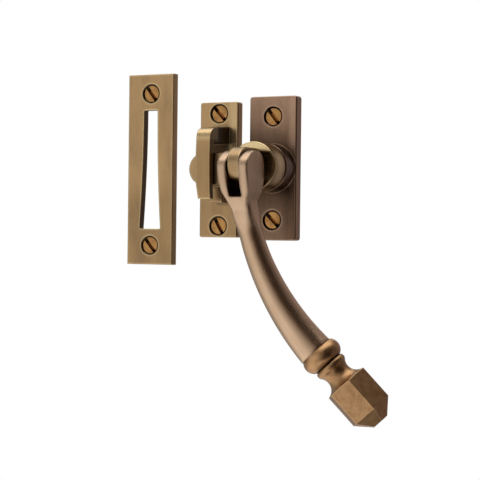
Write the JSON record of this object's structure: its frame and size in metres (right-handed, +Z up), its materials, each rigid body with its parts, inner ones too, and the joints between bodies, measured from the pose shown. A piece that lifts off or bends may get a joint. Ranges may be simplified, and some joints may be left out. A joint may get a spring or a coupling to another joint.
{
  "type": "casement fastener",
  "caption": "Window casement fastener with a turning nose, a hinged forked handle with a curved arm and six-sided knob, and separate hook and mortice plates to receive the nose.",
  "frame": {"origin": "centre of the back plate's rear face, on the wall plane, midway between its screws", "axes": "+Z up along the back plate, +Y into the wall along the screws, +X to the viewer's right"},
  "size_m": [0.1064, 0.0514, 0.1232],
  "materials": {
    "back_plate_brass": "satin aged brass, reddish brown",
    "head_brass": "satin aged brass, olive brown",
    "handle_brass": "brushed aged brass, reddish brown",
    "knob_brass": "satin aged brass, golden brown",
    "keep_brass": "satin aged brass, olive brown",
    "washer_brass": "dark aged brass",
    "screw_brass": "satin brass"
  },
  "bodies": {
    "plates": {"back_plate": "back_plate_brass", "friction_washer": "washer_brass", "hook_plate": "keep_brass", "mortice_plate": "keep_brass", "back_plate_screw_upper": "screw_brass", "back_plate_screw_lower": "screw_brass", "hook_plate_screw_upper": "screw_brass", "hook_plate_screw_lower": "screw_brass", "mortice_plate_screw_upper": "screw_brass", "mortice_plate_screw_lower": "screw_brass"},
    "turret": {"turret": "head_brass", "retaining_washer": "washer_brass"},
    "handle": {"handle_arm": "handle_brass", "fork_pin": "handle_brass", "knob": "knob_brass"}
  },
  "joints": [
    {"name": "turret_turn", "type": "hinge", "parent": "plates", "child": "turret", "pos_m": [0, -0.012, 0], "axis": [0, -1, 0], "range_deg": [0, 180]},
    {"name": "handle_flip", "type": "hinge", "parent": "turret", "child": "handle", "pos_m": [0, -0.0296, 0], "axis": [-1, 0, 0], "range_deg": [0, 206]}
  ]
}
